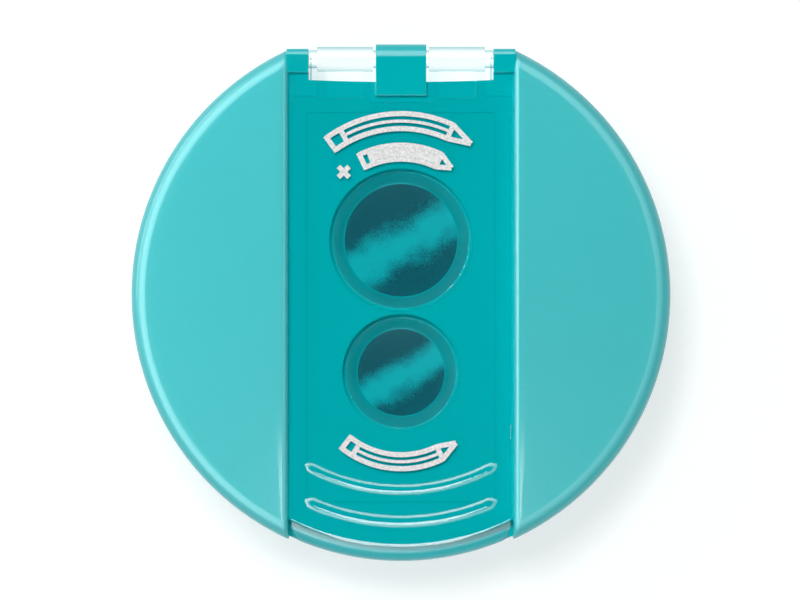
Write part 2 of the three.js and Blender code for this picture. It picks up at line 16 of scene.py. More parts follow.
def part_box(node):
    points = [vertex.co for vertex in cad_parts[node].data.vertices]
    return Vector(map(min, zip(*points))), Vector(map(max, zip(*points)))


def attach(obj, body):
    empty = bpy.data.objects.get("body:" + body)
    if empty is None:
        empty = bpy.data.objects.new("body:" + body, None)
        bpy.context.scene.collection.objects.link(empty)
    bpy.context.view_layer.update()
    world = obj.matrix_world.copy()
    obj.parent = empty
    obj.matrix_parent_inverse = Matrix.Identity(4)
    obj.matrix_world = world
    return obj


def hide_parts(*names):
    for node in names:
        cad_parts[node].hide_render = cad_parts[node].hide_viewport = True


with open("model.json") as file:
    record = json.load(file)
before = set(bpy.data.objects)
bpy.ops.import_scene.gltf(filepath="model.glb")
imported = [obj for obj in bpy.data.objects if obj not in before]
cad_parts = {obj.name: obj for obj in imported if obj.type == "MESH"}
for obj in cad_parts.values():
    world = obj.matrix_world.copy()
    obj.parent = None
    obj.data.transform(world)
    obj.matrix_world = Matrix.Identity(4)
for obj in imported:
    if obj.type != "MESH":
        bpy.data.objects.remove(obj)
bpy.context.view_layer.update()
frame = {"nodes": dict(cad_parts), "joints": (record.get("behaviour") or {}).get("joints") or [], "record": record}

MM = 0.001
FAR = 60.0  # beyond every face of the object, in millimetres
ROUND = 192  # segments of the casing's circle
FINE = 96  # segments of the cups and bores
FLAT_ANGLE = math.radians(0.05)  # faces closer to parallel than this become one
SHARP_ANGLE = math.radians(35)  # edges sharper than this are not smoothed


# ---------------------------------------------------------------- sizes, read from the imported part


def box_mm(node):
    low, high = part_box(node)
    return [v / MM for v in low], [v / MM for v in high]


SHELL_LOW, SHELL_HIGH = box_mm("front_shell")
TUB_HIGH = box_mm("rear_tub")[1]
LID_LOW, LID_HIGH = box_mm("lid")
INSERT_LOW, INSERT_HIGH = box_mm("sharpener_insert")
HINGE = [joint for joint in frame["joints"] if joint["name"] == "lid_hinge"][0]
OPENINGS = {o["name"]: o["box_m"] for o in frame["record"]["physics"]["openings"]}


def opening_y(name):
    low, high = OPENINGS[name]
    return (low[1] + high[1]) / 2 / MM


BODY_RADIUS = SHELL_HIGH[0]
CHANNEL_HALF = LID_HIGH[0] + 0.35
DOME_RISE = 1.6
RIM_Z = SHELL_HIGH[2] - DOME_RISE * (1 - (CHANNEL_HALF / BODY_RADIUS) ** 2)
RIM_FILLET = 1.5
CHANNEL_FILLET = 0.6
EDGE_CHAMFER = 0.25
WALL = 1.4
PARTING_Z = SHELL_LOW[2]
SEAM_GAP = 0.2  # between the two halves of the casing
TUB_TOP_Z = PARTING_Z - SEAM_GAP
TUB_FOOT_FILLET = 2
SPIGOT_GAP = 0.25  # between the tub's inner lip and the front half's wall
SPIGOT_INNER = 1.35  # from the front half's wall to the inside of that lip
DECK_Z = INSERT_HIGH[2]
DECK_THICKNESS = 1.5
DECK_UNDER_Z = DECK_Z - DECK_THICKNESS
BAND_RADIUS = BODY_RADIUS - 1.8
HINGE_Y = HINGE["pos_m"][1] / MM
HINGE_Z = HINGE["pos_m"][2] / MM
EAR_END_Y = HINGE_Y + 1.03
EAR_INNER_X = CHANNEL_HALF - 2.05
NOTCH_Y = EAR_END_Y - 3.1
LID_BOTTOM_Z = DECK_Z + 0.2
LID_TOP_Z = LID_BOTTOM_Z + 1.3
LID_HALF = LID_HIGH[0]
LIP_OUTER = -LID_LOW[1]
LIP_INNER = BAND_RADIUS + 0.25
LIP_BOTTOM_Z = LID_LOW[2]
LEDGE_Z = LIP_BOTTOM_Z - 0.25
KNUCKLE_HALF = 2.53
KNUCKLE_RADIUS = 1.5
KNUCKLE_END_Y = HINGE_Y + KNUCKLE_RADIUS - 5.17
BARREL_RADIUS = 1.25
PIN_RADIUS = 0.9
ARM_INNER_X = KNUCKLE_HALF + 0.27
ARM_OUTER_X = EAR_INNER_X - 0.85
PIN_GAP = 0.09  # between the pin and its sockets
PIN_HALF = EAR_INNER_X + 1.1
LID_END_Y = HINGE_Y - 3.72
CUP_BOTTOM_Z = LID_BOTTOM_Z - 2.3
CUP_EDGE_Z = CUP_BOTTOM_Z + 1.05
CUP_MARGIN = 0.55  # from a bore's edge to its cup's edge
CUP_WALL = 0.6
CUP_FLOOR_DIP = 0.35
CUP_FLOOR_MARGIN = 0.45  # from a bore's edge to the frosted floor's edge
CUP_GAP = 0.2  # between a shut cup and the floor of its mouth
FLOOR_TO_CONE = 1.5
OPENING_HALF = CHANNEL_HALF - 1.85
OPENING_TOP_Y = NOTCH_Y - 3.27
OPENING_BOTTOM_Y = -(BAND_RADIUS - 5.0) - 0.6
BORES = {
    "large": {
        "y": opening_y("wide_pencil_bore"),
        "radius": 5.2,
        "half_angle": math.radians(15),
        "side": 1,
    },
    "small": {
        "y": opening_y("narrow_pencil_bore"),
        "radius": 3.9,
        "half_angle": math.radians(11.5),
        "side": -1,
    },
}


# ---------------------------------------------------------------- mesh tools


def new_object(name, vertices, faces):
    """A mesh object in millimetres, with doubled points merged and its faces turned outwards."""
    mesh = bpy.data.meshes.new(name)
    mesh.from_pydata(vertices, [], faces)
    work = bmesh.new()
    work.from_mesh(mesh)
    bmesh.ops.remove_doubles(work, verts=work.verts, dist=1e-4)
    bmesh.ops.dissolve_degenerate(work, edges=work.edges, dist=1e-5)
    bmesh.ops.recalc_face_normals(work, faces=work.faces)
    work.to_mesh(mesh)
    work.free()
    thing = bpy.data.objects.new(name, mesh)
    bpy.context.scene.collection.objects.link(thing)
    return thing


def extruded(name, outline, low, high, place):
    """A prism from a 2D outline. place turns (a, b, height) into a point."""
    count = len(outline)
    vertices = [place(a, b, low) for a, b in outline] + [place(a, b, high) for a, b in outline]
    faces = [list(range(count)), list(range(count, 2 * count))]
    for i in range(count):
        j = (i + 1) % count
        faces.append([i, j, count + j, count + i])
    return new_object(name, vertices, faces)


def upright(name, outline, z0, z1):
    return extruded(name, outline, z0, z1, lambda a, b, h: (a, b, h))


def along_x(name, outline, x0, x1):
    return extruded(name, outline, x0, x1, lambda a, b, h: (h, a, b))


def along_y(name, outline, y0, y1):
    return extruded(name, outline, y0, y1, lambda a, b, h: (a, h, b))


def block(name, x0, x1, y0, y1, z0, z1):
    return upright(name, [(x0, y0), (x1, y0), (x1, y1), (x0, y1)], z0, z1)


def arc(cx, cy, radius, start, end, steps):
    """Points of an arc, angles in degrees, both ends included."""
    points = []
    for i in range(steps + 1):
        angle = math.radians(start + (end - start) * i / steps)
        points.append((cx + radius * math.cos(angle), cy + radius * math.sin(angle)))
    return points


def turned(name, profile, segments=ROUND, x=0.0, y=0.0):
    """A body turned round the Z axis from (radius, z) points that start and end on the axis."""
    vertices = []
    faces = []
    for r, z in profile:
        for k in range(segments):
            angle = 2 * math.pi * k / segments
            vertices.append((x + r * math.cos(angle), y + r * math.sin(angle), z))
    for i in range(len(profile) - 1):
        for k in range(segments):
            m = (k + 1) % segments
            a, b = i * segments, (i + 1) * segments
            faces.append([a + k, a + m, b + m, b + k])
    return new_object(name, vertices, faces)


def rod(name, radius, x0, x1, segments=48, chamfer=0.0):
    """A cylinder along X on the hinge's axis, with small chamfers at its ends."""
    profile = [(0, x0), (radius - chamfer, x0), (radius, x0 + chamfer)]
    profile += [(radius, x1 - chamfer), (radius - chamfer, x1), (0, x1)]
    thing = turned(name, profile, segments)
    turn = Matrix.Translation((0, HINGE_Y, HINGE_Z)) @ Matrix.Rotation(math.pi / 2, 4, "Y")
    thing.data.transform(turn)
    return thing


def combine(target, tool, operation):
    """Joins, cuts or intersects target with tool, and removes tool."""
    modifier = target.modifiers.new("boolean", "BOOLEAN")
    modifier.operation = operation
    modifier.solver = "EXACT"
    modifier.object = tool
    bpy.context.view_layer.update()
    graph = bpy.context.evaluated_depsgraph_get()
    result = bpy.data.meshes.new_from_object(target.evaluated_get(graph))
    target.modifiers.clear()
    old = target.data
    target.data = result
    result.name = target.name
    bpy.data.meshes.remove(old)
    remove(tool)
    return target


def remove(thing):
    mesh = thing.data
    bpy.data.objects.remove(thing)
    bpy.data.meshes.remove(mesh)


def join(target, tool):
    return combine(target, tool, "UNION")


def cut(target, tool):
    return combine(target, tool, "DIFFERENCE")


def common(target, tool):
    return combine(target, tool, "INTERSECT")


def finished(thing, body, node, material, bevel=0.0, segments=3, angle=40):
    """Brings a piece to metres, gives it its material, and puts it on its body in place of its CAD node."""
    mesh = thing.data
    mesh.transform(Matrix.Scale(MM, 4))
    mesh.materials.clear()
    mesh.materials.append(material)
    work = bmesh.new()
    work.from_mesh(mesh)
    bmesh.ops.remove_doubles(work, verts=work.verts, dist=1e-7)
    bmesh.ops.dissolve_limit(
        work,
        angle_limit=FLAT_ANGLE,
        verts=work.verts,
        edges=work.edges,
        use_dissolve_boundaries=False,
    )
    work.to_mesh(mesh)
    work.free()
    mesh.shade_smooth()
    mesh.set_sharp_from_angle(angle=SHARP_ANGLE)
    if bevel:
        modifier = thing.modifiers.new("edges", "BEVEL")
        modifier.width = bevel * MM
        modifier.segments = segments
        modifier.limit_method = "ANGLE"
        modifier.angle_limit = math.radians(angle)
        modifier.miter_outer = "MITER_ARC"
    modifier = thing.modifiers.new("normals", "WEIGHTED_NORMAL")
    modifier.weight = 100
    modifier.keep_sharp = True
    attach(thing, body)
    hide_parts(node)
    return thing


# ---------------------------------------------------------------- materials

# direction of the highlight streak painted on the cup floors
HIGHLIGHT_STREAK_ANGLE = math.radians(30)
PLASTIC_IOR = 1.49


def material_nodes(name):
    material = bpy.data.materials.new(name)
    material.use_nodes = True
    tree = material.node_tree
    return material, tree, tree.nodes["Principled BSDF"]


def object_noise(tree, scale, detail=2.0, roughness=0.5):
    """Noise in the object's own space. scale is features per metre."""
    place = tree.nodes.new("ShaderNodeTexCoord")
    noise = tree.nodes.new("ShaderNodeTexNoise")
    noise.inputs["Scale"].default_value = scale
    noise.inputs["Detail"].default_value = detail
    noise.inputs["Roughness"].default_value = roughness
    tree.links.new(place.outputs["Object"], noise.inputs["Vector"])
    return noise


def bump_from(tree, height, strength, distance):
    bump = tree.nodes.new("ShaderNodeBump")
    bump.inputs["Strength"].default_value = strength
    bump.inputs["Distance"].default_value = distance
    tree.links.new(height, bump.inputs["Height"])
    return bump


def spread(tree, value, low, high):
    """Maps a 0 to 1 value to the range low to high."""
    ranged = tree.nodes.new("ShaderNodeMapRange")
    ranged.inputs["To Min"].default_value = low
    ranged.inputs["To Max"].default_value = high
    tree.links.new(value, ranged.inputs["Value"])
    return ranged.outputs["Result"]


def matte_teal():
    material, tree, shader = material_nodes("matte_teal_plastic")
    grain = object_noise(tree, 4500, 3.0, 0.6)
    shader.inputs["Base Color"].default_value = (0.02, 0.405, 0.43, 1)
    shader.inputs["Specular IOR Level"].default_value = 0.5
    tree.links.new(spread(tree, grain.outputs["Fac"], 0.42, 0.56), shader.inputs["Roughness"])
    shader.inputs["Coat Weight"].default_value = 0.5
    shader.inputs["Coat Roughness"].default_value = 0.12
    bump = bump_from(tree, grain.outputs["Fac"], 0.5, 0.00004)
    tree.links.new(bump.outputs["Normal"], shader.inputs["Normal"])
    return material


def gloss_teal(name):
    material, tree, shader = material_nodes(name)
    ripple = object_noise(tree, 250, 2.0, 0.4)
    shader.inputs["Base Color"].default_value = (0.0, 0.475, 0.51, 1)
    shader.inputs["Specular IOR Level"].default_value = 0.35
    tree.links.new(spread(tree, ripple.outputs["Fac"], 0.05, 0.1), shader.inputs["Roughness"])
    bump = bump_from(tree, ripple.outputs["Fac"], 0.08, 0.00002)
    tree.links.new(bump.outputs["Normal"], shader.inputs["Normal"])
    return material


def seen_share(tree):
    """0 for light on its way to a lit surface, and 1 otherwise."""
    path = tree.nodes.new("ShaderNodeLightPath")
    either = math_node(tree, "MAXIMUM", path.outputs["Is Shadow Ray"], path.outputs["Is Diffuse Ray"])
    return math_node(tree, "SUBTRACT", 1, either)


def mirrored_share(tree, ior):
    """The share that a clear face's outer side reflects, or nothing for light that goes on to a surface."""
    side = tree.nodes.new("ShaderNodeNewGeometry")
    fresnel = tree.nodes.new("ShaderNodeFresnel")
    fresnel.inputs["IOR"].default_value = ior
    front = math_node(tree, "SUBTRACT", 1, side.outputs["Backfacing"])
    seen_front = math_node(tree, "MULTIPLY", front, seen_share(tree))
    return math_node(tree, "MULTIPLY", seen_front, fresnel.outputs["Fac"])


def see_through(tree, shader, share):
    """Mixes the shader's surface over what lies behind it. Returns the see-through shader."""
    through = tree.nodes.new("ShaderNodeBsdfTransparent")
    mix = tree.nodes.new("ShaderNodeMixShader")
    tree.links.new(share, mix.inputs["Fac"])
    tree.links.new(through.outputs["BSDF"], mix.inputs[1])
    tree.links.new(shader.outputs["BSDF"], mix.inputs[2])
    tree.links.new(mix.outputs["Shader"], tree.nodes["Material Output"].inputs["Surface"])
    return through


def clear_plastic():
    """Clear plastic: what lies behind it, under its faces' reflections, and darker where it slants."""
    material, tree, shader = material_nodes("clear_lid_plastic")
    ripple = object_noise(tree, 120, 1.0, 0.4)
    shader.inputs["Base Color"].default_value = (1, 1, 1, 1)
    shader.inputs["Metallic"].default_value = 1.0
    tree.links.new(spread(tree, ripple.outputs["Fac"], 0.02, 0.07), shader.inputs["Roughness"])
    bump = bump_from(tree, ripple.outputs["Fac"], 0.04, 0.00001)
    tree.links.new(bump.outputs["Normal"], shader.inputs["Normal"])
    through = see_through(tree, shader, mirrored_share(tree, PLASTIC_IOR))
    slant = tree.nodes.new("ShaderNodeLayerWeight")
    slant.inputs["Blend"].default_value = 0.5
    seen_slant = math_node(tree, "MULTIPLY", slant.outputs["Facing"], seen_share(tree))
    ramp = tree.nodes.new("ShaderNodeValToRGB")
    ramp.color_ramp.elements[0].position = 0.15
    ramp.color_ramp.elements[0].color = (0.985, 0.995, 0.995, 1)
    ramp.color_ramp.elements[1].color = (0.35, 0.6, 0.62, 1)
    tree.links.new(seen_slant, ramp.inputs["Fac"])
    tree.links.new(ramp.outputs["Color"], through.inputs["Color"])
    return material


def steel(name, colour, roughness):
    material, tree, shader = material_nodes(name)
    grain = object_noise(tree, 4000, 3.0, 0.6)
    shader.inputs["Base Color"].default_value = colour
    shader.inputs["Metallic"].default_value = 1.0
    ranged = spread(tree, grain.outputs["Fac"], roughness, roughness + 0.15)
    tree.links.new(ranged, shader.inputs["Roughness"])
    bump = bump_from(tree, grain.outputs["Fac"], 0.2, 0.00001)
    tree.links.new(bump.outputs["Normal"], shader.inputs["Normal"])
    return material


def math_node(tree, operation, first, second=None, third=None):
    """A Math node's result. Each input is a socket or a number."""
    node = tree.nodes.new("ShaderNodeMath")
    node.operation = operation
    for place, value in enumerate((first, second, third)):
        if isinstance(value, bpy.types.NodeSocket):
            tree.links.new(value, node.inputs[place])
        elif value is not None:
            node.inputs[place].default_value = value
    return node.outputs["Value"]


def frosted(name, centre_y, radius):
    """A frosted cup floor in the casing's colour, with fine grain. Its colour carries a painted highlight, a
    lighter streak across it, and painted shade, dark teal away from the streak.
    """
    material, tree, shader = material_nodes(name)
    place = tree.nodes.new("ShaderNodeTexCoord")
    local = tree.nodes.new("ShaderNodeVectorMath")
    local.operation = "SUBTRACT"
    local.inputs[1].default_value = (0, centre_y * MM, 0)
    tree.links.new(place.outputs["Object"], local.inputs[0])
    across = tree.nodes.new("ShaderNodeVectorMath")
    across.operation = "DOT_PRODUCT"
    across.inputs[1].default_value = (-math.sin(HIGHLIGHT_STREAK_ANGLE), math.cos(HIGHLIGHT_STREAK_ANGLE), 0)
    tree.links.new(local.outputs["Vector"], across.inputs[0])
    # how far a point lies off the painted highlight streak
    off_highlight_streak = math_node(tree, "MULTIPLY_ADD", across.outputs["Value"], 1 / (0.6 * radius * MM), 0.15)
    cloud = object_noise(tree, 400, 2.0, 0.5)
    grain = object_noise(tree, 7000, 2.0, 0.7)
    total = math_node(tree, "ABSOLUTE", off_highlight_streak)
    total = math_node(tree, "MULTIPLY_ADD", cloud.outputs["Fac"], 0.8, total)
    total = math_node(tree, "MULTIPLY_ADD", grain.outputs["Fac"], 0.8, total)
    # light teal near the streak is painted highlight, dark teal away from it is painted shade
    ramp = tree.nodes.new("ShaderNodeValToRGB")
    ramp.color_ramp.interpolation = "EASE"
    ramp.color_ramp.elements[0].position = 0.48
    ramp.color_ramp.elements[0].color = (0.0, 0.43, 0.48, 1)
    ramp.color_ramp.elements[1].position = 0.82
    ramp.color_ramp.elements[1].color = (0.0, 0.09, 0.12, 1)
    tree.links.new(math_node(tree, "MULTIPLY", total, 0.5), ramp.inputs["Fac"])
    tree.links.new(ramp.outputs["Color"], shader.inputs["Base Color"])
    shader.inputs["Roughness"].default_value = 0.35
    shader.inputs["Specular IOR Level"].default_value = 0.1
    bump = bump_from(tree, grain.outputs["Fac"], 0.4, 0.00003)
    tree.links.new(bump.outputs["Normal"], shader.inputs["Normal"])
    see_through(tree, shader, math_node(tree, "MULTIPLY", seen_share(tree), 0.8))
    return material


def print_white():
    material, tree, shader = material_nodes("silver_white_print")
    grain = object_noise(tree, 6000, 2.0, 0.6)
    ramp = tree.nodes.new("ShaderNodeValToRGB")
    ramp.color_ramp.elements[0].position = 0.3
    ramp.color_ramp.elements[0].color = (0.55, 0.56, 0.56, 1)
    ramp.color_ramp.elements[1].position = 0.7
    ramp.color_ramp.elements[1].color = (0.86, 0.86, 0.86, 1)
    tree.links.new(grain.outputs["Fac"], ramp.inputs["Fac"])
    tree.links.new(ramp.outputs["Color"], shader.inputs["Base Color"])
    shader.inputs["Roughness"].default_value = 0.5
    return material


# ---------------------------------------------------------------- casing


def fillet_drop(distance, radius):
    """How far a rounded edge lies below the face at a distance from the wall."""
    if distance >= radius:
        return 0.0
    return radius - math.sqrt(max(radius ** 2 - (radius - max(distance, 0.0)) ** 2, 0.0))


def dome_z(r):
    return RIM_Z + DOME_RISE * (1 - (r / BODY_RADIUS) ** 2)


def wing_top_z(x, y):
    r = math.hypot(x, y)
    drop = fillet_drop(BODY_RADIUS - r, RIM_FILLET) + fillet_drop(x - CHANNEL_HALF, CHANNEL_FILLET)
    return dome_z(r) - drop


def wing_columns(y):
    """X of a wing's columns at a station, close together where its edges are rounded."""
    outer = math.sqrt(max(BODY_RADIUS ** 2 - y ** 2, CHANNEL_HALF ** 2))
    turns = [math.radians(a) for a in (0, 15, 30, 45, 60, 75, 90)]
    inner_part = [CHANNEL_HALF + CHANNEL_FILLET * (1 - math.cos(t)) for t in turns]
    outer_part = []
    for t in reversed(turns):
        inset = BODY_RADIUS - RIM_FILLET * (1 - math.cos(t))
        outer_part.append(math.sqrt(max(inset ** 2 - y ** 2, CHANNEL_HALF ** 2)))
    start, end = inner_part[-1], outer_part[0]
    middle = [start + (end - start) * k / 14 for k in range(1, 14)]
    columns = []
    highest = CHANNEL_HALF
    for x in inner_part + middle + outer_part:
        highest = max(highest, min(x, outer))
        columns.append(highest)
    return columns


def wing(side):
    """One domed wing of the front half, rounded along both of its edges."""
    tip = math.sqrt(BODY_RADIUS ** 2 - CHANNEL_HALF ** 2)
    steps = 150
    stations = [tip * math.sin(math.radians(-90 + 180 * k / steps)) for k in range(steps + 1)]
    rings = []
    for y in stations:
        columns = wing_columns(y)
        outer = columns[-1]
        foot = max(math.sqrt(max((BODY_RADIUS - EDGE_CHAMFER) ** 2 - y ** 2, 0.0)), CHANNEL_HALF)
        loop = [(CHANNEL_HALF, y, PARTING_Z)]
        loop += [(x, y, wing_top_z(x, y)) for x in columns]
        loop += [(outer, y, PARTING_Z + EDGE_CHAMFER), (min(foot, outer), y, PARTING_Z)]
        rings.append([(side * x, yy, z) for x, yy, z in loop])
    width = len(rings[0])
    vertices = [point for ring in rings for point in ring]
    faces = []
    for i in range(len(rings) - 1):
        for k in range(width):
            m = (k + 1) % width
            faces.append([i * width + k, i * width + m, (i + 1) * width + m, (i + 1) * width + k])
    return new_object("shell_wing", vertices, faces)


def under_dome(name, radius):
    """The room under the front's wall, out to a radius."""
    steps = 12
    profile = [(0, PARTING_Z - 1), (radius, PARTING_Z - 1)]
    for k in range(steps + 1):
        r = radius * (1 - k / steps)
        profile.append((r, dome_z(r) - WALL))
    return turned(name, profile)


def hollow_wing(side):
    thing = wing(side)
    inner = CHANNEL_HALF + WALL
    high = common(under_dome("room", BODY_RADIUS - WALL), block("b", inner, FAR, -FAR, FAR, 0, FAR))
    low = common(
        under_dome("room", BAND_RADIUS - WALL),
        block("b", CHANNEL_HALF - 1, inner + 0.5, -FAR, FAR, 0, DECK_UNDER_Z),
    )
    if side < 0:
        for room in (high, low):
            room.data.transform(Matrix.Scale(-1, 4, (1, 0, 0)))
            room.data.flip_normals()
    return cut(cut(cut(thing, high), low), lip_room())


def middle_outline(radius, half, inset):
    """Plan outline of the casing between the wings: an arc under the lip, the ears and the notch."""
    start = math.degrees(math.asin(half / radius))
    points = arc(0, 0, radius, -90 - start, -90 + start, 64)
    ear_out = CHANNEL_HALF + 0.02 + inset
    ear_inner = EAR_INNER_X + inset
    end = EAR_END_Y - inset
    points += [(half, 21.0), (ear_out, 21.0), (ear_out, end)]
    points += arc(ear_inner + 0.3, end - 0.3, 0.3, 90, 180, 5)
    points += notch_line(inset)
    points += [(-x, y) for x, y in reversed(arc(ear_inner + 0.3, end - 0.3, 0.3, 90, 180, 5))]
    points += [(-ear_out, end), (-ear_out, 21.0), (-half, 21.0)]
    return points


def middle_room(radius, z0, z1):
    """The hollow inside the middle, square to the notch's wall."""
    half = CHANNEL_HALF + 1
    start = math.degrees(math.asin(half / radius))
    points = arc(0, 0, radius, -90 - start, -90 + start, 48)
    return upright("room", points + [(half, NOTCH_Y - WALL - 0.2), (-half, NOTCH_Y - WALL - 0.2)], z0, z1)


def hollow_middle(thing, radius, top):
    cut(thing, middle_room(radius, PARTING_Z - 1, top))
    for side in (-1, 1):
        low, high = sorted((side * (EAR_INNER_X - 1), side * (PIN_HALF + 0.1)))
        cut(thing, rod("socket", PIN_RADIUS + PIN_GAP, low, high))
    return thing


def deck():
    """The channel's floor with the insert's opening, and the edge that the lip hides."""
    thing = upright("shell_deck", middle_outline(BAND_RADIUS, CHANNEL_HALF + 0.1, 0), LEDGE_Z, DECK_Z)
    hollow_middle(thing, BAND_RADIUS - WALL, DECK_UNDER_Z)
    return cut(thing, block("hole", -OPENING_HALF, OPENING_HALF, OPENING_BOTTOM_Y, OPENING_TOP_Y, 0, FAR))


def skirt():
    """The middle's outer wall below the lip, flush with it, with a ledge under it."""
    outline = middle_outline(LIP_OUTER, CHANNEL_HALF + 0.1, 0)
    thing = hollow_middle(upright("shell_skirt", outline, PARTING_Z, LEDGE_Z), BAND_RADIUS - WALL, FAR)
    return cut(thing, lip_room())


def lip_room():
    """The room inside the front's wall that the tub's inner lip plugs into."""
    hair = 0.02  # keeps this wall off the wings' own inner wall, which would lie in the same place
    return upright("room", tub_outline(WALL + hair), PARTING_Z - 1, TUB_HIGH[2] + 0.3)


def ear(side):
    start = HINGE_Y - KNUCKLE_RADIUS + 0.15
    top = HINGE_Z + PIN_RADIUS + 0.45
    outline = [(start, DECK_Z), (EAR_END_Y, DECK_Z)]
    outline += arc(EAR_END_Y - 0.7, top - 0.7, 0.7, 0, 90, 8)
    outline += [(start, top)]
    low, high = sorted((side * EAR_INNER_X, side * (CHANNEL_HALF + 0.15)))
    thing = along_x("shell_ear", outline, low, high)
    low, high = sorted((side * (EAR_INNER_X - 1), side * (PIN_HALF + 0.1)))
    return cut(thing, rod("socket", PIN_RADIUS + PIN_GAP, low, high))


def knuckle():
    outline = arc(HINGE_Y, HINGE_Z, KNUCKLE_RADIUS, 90, -90, 24)
    outline += [(KNUCKLE_END_Y, HINGE_Z - KNUCKLE_RADIUS), (KNUCKLE_END_Y, HINGE_Z + KNUCKLE_RADIUS)]
    thing = along_x("shell_knuckle", outline, -KNUCKLE_HALF, KNUCKLE_HALF)
    cut(thing, rod("bore", PIN_RADIUS + PIN_GAP, -KNUCKLE_HALF - 1, KNUCKLE_HALF + 1))
    half = 0.75  # narrower than the pin, which snaps in
    mouth = block("mouth", -FAR, FAR, HINGE_Y - half, HINGE_Y + half, HINGE_Z - 4, HINGE_Z)
    return cut(thing, mouth)


def hook(side, y):
    inner = OPENING_HALF + 1.5
    end = DECK_UNDER_Z - 2.6
    barb = DECK_UNDER_Z - 1.8
    root = DECK_UNDER_Z + 0.2
    outline = [(inner + 1.1, end), (inner + 1.1, root), (inner, root), (inner, barb)]
    outline += [(inner - 0.6, barb), (inner, end)]
    return along_y("shell_hook", [(side * a, b) for a, b in outline], y - 2, y + 2)


def notch_line(inset):
    """Points along the notch's bowed wall, from +X to -X."""
    reach = EAR_INNER_X + inset
    steps = 16
    points = []
    for k in range(steps + 1):
        bow = 0.8 * (k / steps) * (1 - k / steps)
        points.append((reach - 2 * reach * k / steps, NOTCH_Y - inset - bow))
    return points


def tub_outline(inset):
    """Plan outline of the whole casing, set in by a wall. Far enough in, the ears have no flat ends left."""
    outer = BODY_RADIUS - inset
    band = LIP_OUTER - inset
    half = CHANNEL_HALF + inset
    end = EAR_END_Y - inset
    ear_inner = EAR_INNER_X + inset
    turn = math.degrees(math.asin(half / band))
    low = math.degrees(math.asin(half / outer))
    if math.sqrt(outer ** 2 - end ** 2) > ear_inner + 0.6:
        high = math.degrees(math.asin(end / outer))
        corner = arc(ear_inner + 0.3, end - 0.3, 0.3, 90, 180, 5)
    else:
        high = math.degrees(math.acos(ear_inner / outer))
        corner = []
    points = arc(0, 0, band, -90 - turn, -90 + turn, 40)
    points += arc(0, 0, outer, -90 + low, high, 110)
    points += corner + notch_line(inset) + [(-x, y) for x, y in reversed(corner)]
    points += arc(0, 0, outer, 180 - high, 270 - low, 110)
    return points


def tub():
    """The rear half of the casing, with the inner lip that plugs into the front half."""
    fillet = arc(BODY_RADIUS - TUB_FOOT_FILLET, TUB_FOOT_FILLET, TUB_FOOT_FILLET, -90, 0, 10)
    lip = [(BODY_RADIUS, TUB_TOP_Z - EDGE_CHAMFER), (BODY_RADIUS - EDGE_CHAMFER, TUB_TOP_Z)]
    blank = turned("rear_tub", [(0, 0)] + fillet + lip + [(0, TUB_TOP_Z)])
    common(blank, upright("plan", tub_outline(0), -1, TUB_TOP_Z + 1))
    join(blank, upright("spigot", tub_outline(WALL + SPIGOT_GAP), WALL, TUB_HIGH[2]))
    return cut(blank, upright("room", tub_outline(WALL + SPIGOT_INNER), WALL, FAR))


# ---------------------------------------------------------------- lid


def lid_plan():
    """The lid's plan: straight sides with their front corners rounded."""
    side_y = -math.sqrt(LIP_OUTER ** 2 - LID_HALF ** 2)
    corner = []
    for k in range(9):
        t = k / 8
        a = (LID_HALF - 1.2, side_y - 0.6)
        b = (LID_HALF, side_y)
        c = (LID_HALF, side_y + 1.2)
        corner.append(tuple((1 - t) ** 2 * a[i] + 2 * t * (1 - t) * b[i] + t * t * c[i] for i in (0, 1)))
    right_side = [(LID_HALF - 1.2, -FAR)] + corner + [(LID_HALF, LID_END_Y)]
    left_side = [(-x, y) for x, y in reversed(right_side)]
    return upright("plan", right_side + left_side, 0, FAR)


def cup_outside(bore, z):
    slope = 1.0 / (LID_TOP_Z - CUP_EDGE_Z)
    return bore["radius"] + CUP_MARGIN + CUP_WALL + slope * (z - CUP_EDGE_Z)


def cup_body(bore):
    top = LID_BOTTOM_Z + 0.65
    low = cup_outside(bore, CUP_BOTTOM_Z)
    profile = [(0, CUP_BOTTOM_Z), (low - 0.2, CUP_BOTTOM_Z), (low, CUP_BOTTOM_Z + 0.2)]
    profile += [(cup_outside(bore, top), top), (0, top)]
    return turned("cup", profile, FINE, 0, bore["y"])


def cup_hollow(bore):
    floor = bore["radius"] + CUP_MARGIN
    slope = 1.0 / (LID_TOP_Z - CUP_EDGE_Z)
    profile = [(0, CUP_EDGE_Z - CUP_FLOOR_DIP), (floor - 0.12, CUP_EDGE_Z - 0.01), (floor, CUP_EDGE_Z + 0.1)]
    profile += [(floor + 1.0 - 0.12 * slope, LID_TOP_Z - 0.12), (floor + 1.0 + 0.1, LID_TOP_Z)]
    profile += [(floor + 1.0 + 0.9, LID_TOP_Z + 0.8), (0, LID_TOP_Z + 0.8)]
    return turned("hollow", profile, FINE, 0, bore["y"])


RIDGE_HEIGHT = 0.22


